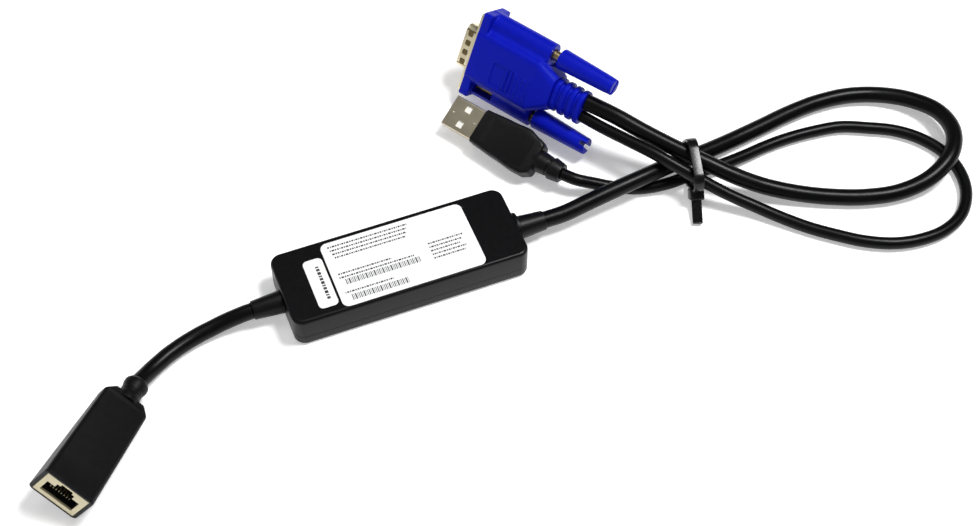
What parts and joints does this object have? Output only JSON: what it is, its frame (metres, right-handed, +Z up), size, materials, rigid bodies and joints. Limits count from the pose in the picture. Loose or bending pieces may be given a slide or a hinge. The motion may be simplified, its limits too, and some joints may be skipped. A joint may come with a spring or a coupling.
{
  "type": "kvm dongle cable",
  "caption": "Slim electronics pod on a lead, with a modular network socket at one end and a screw-fixed video plug and a USB plug at the other, bundled by a tie.",
  "frame": {"origin": "centre of the pod's underside, on the surface that everything lies on", "axes": "+X along the pod towards the long lead, +Z up, +Y to the side where the video plug lies"},
  "size_m": [0.3456, 0.138, 0.0349],
  "materials": {
    "pod_plastic": "smooth black moulding with a soft gloss",
    "board_green": "green solder mask",
    "chip_black": "matte moulding compound",
    "tinned_metal": "bright tinned metal",
    "white_nylon": "natural white moulding",
    "wire_jackets": "coloured wire insulation",
    "label_white": "satin white film",
    "black_rubber": "soft black moulding",
    "cable_black": "smooth black jacket with a soft gloss",
    "moulded_black": "fine satin black moulding",
    "jack_cream": "cream moulding",
    "contact_gold": "gold plating",
    "hood_blue": "deep blue satin moulding",
    "shell_plated": "pale yellow plated steel",
    "insulator_dark": "dark moulding",
    "screw_brass": "dull yellow plated screw",
    "usb_nickel": "brushed plated sheet",
    "tie_nylon": "black nylon with a gloss"
  },
  "bodies": {
    "cable_set": {"pod_bottom_shell": "pod_plastic", "pod_top_shell": "pod_plastic", "circuit_board": "board_green", "control_chips": "chip_black", "capacitors": "tinned_metal", "crystal": "tinned_metal", "pigtail_header": "white_nylon", "main_header": "white_nylon", "pigtail_wires": "wire_jackets", "main_wires": "wire_jackets", "main_label": "label_white", "small_label": "label_white", "pigtail_pod_relief": "black_rubber", "main_pod_relief": "black_rubber", "pigtail_cable": "cable_black", "main_cable": "cable_black", "usb_cable": "cable_black", "coupler_shell": "moulded_black", "jack_housing": "jack_cream", "jack_carrier": "chip_black", "jack_contacts": "contact_gold", "vga_hood": "hood_blue", "vga_front_shell": "shell_plated", "vga_rear_shell": "shell_plated", "vga_insulator": "insulator_dark", "vga_pins": "contact_gold", "vga_inner_mould": "white_nylon", "usb_overmould": "moulded_black", "usb_inner_mould": "white_nylon", "usb_relief": "moulded_black", "usb_shell": "usb_nickel", "usb_tongue": "white_nylon", "usb_contacts": "contact_gold", "cable_tie": "tie_nylon"},
    "far_slider": {"far_clip": "tinned_metal"},
    "far_thumbscrew": {"far_knob": "hood_blue", "far_screw": "screw_brass"},
    "near_slider": {"near_clip": "tinned_metal"},
    "near_thumbscrew": {"near_knob": "hood_blue", "near_screw": "screw_brass"}
  },
  "joints": [
    {"name": "far_screw_slide", "type": "slide", "parent": "cable_set", "child": "far_slider", "axis": [0.5212, -0.8535, 0], "range_m": [-0.0029, 0.0018]},
    {"name": "far_screw_turn", "type": "hinge", "parent": "far_slider", "child": "far_thumbscrew", "pos_m": [0.06318, 0.07643, 0.02848], "axis": [0.5212, -0.8535, 0], "continuous": true},
    {"name": "near_screw_slide", "type": "slide", "parent": "cable_set", "child": "near_slider", "axis": [0.5212, -0.8535, 0], "range_m": [-0.0013, 0.0034]},
    {"name": "near_screw_turn", "type": "hinge", "parent": "near_slider", "child": "near_thumbscrew", "pos_m": [0.05256, 0.06993, 0.00682], "axis": [0.5212, -0.8535, 0], "continuous": true}
  ]
}
